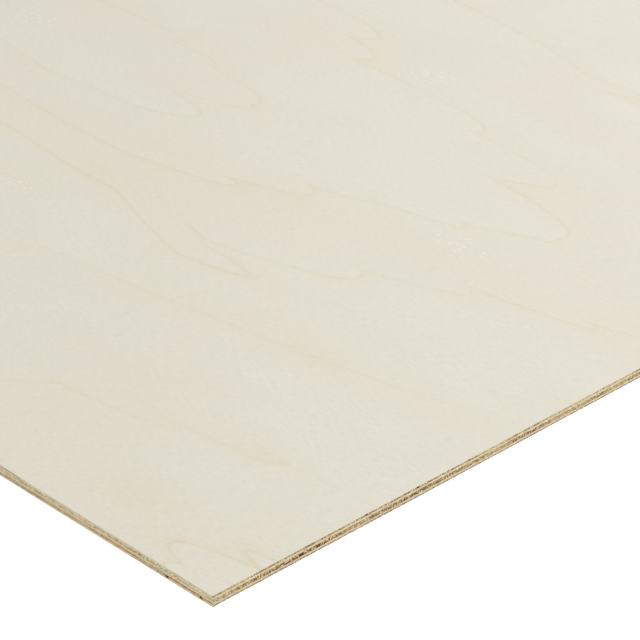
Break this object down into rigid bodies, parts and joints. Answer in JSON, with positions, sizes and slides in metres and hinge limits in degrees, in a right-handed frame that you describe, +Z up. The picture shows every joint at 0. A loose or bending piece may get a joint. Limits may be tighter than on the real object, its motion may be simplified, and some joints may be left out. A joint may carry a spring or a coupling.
{
  "type": "plywood sheet",
  "caption": "Full-size flat sheet of pale birch plywood with sanded faces and sawn edges that show its cross-laid plies.",
  "frame": {"origin": "centre of the sheet's underside, which lies on the floor", "axes": "+X across the sheet, +Y along its length and the grain of its faces, +Z up through the plies to the face veneer"},
  "size_m": [1.22, 2.44, 0.006],
  "materials": {
    "face_birch": "bare rotary-cut birch veneer, sanded, matt",
    "crossband_birch": "bare birch veneer, sawn edge, matt",
    "core_birch": "bare birch veneer, sawn edge, coarse and matt",
    "back_birch": "bare rotary-cut birch veneer, sanded, matt"
  },
  "bodies": {
    "root": {"face_veneer": "face_birch", "upper_crossband": "crossband_birch", "core_veneer": "core_birch", "lower_crossband": "crossband_birch", "back_veneer": "back_birch"}
  },
  "joints": []
}
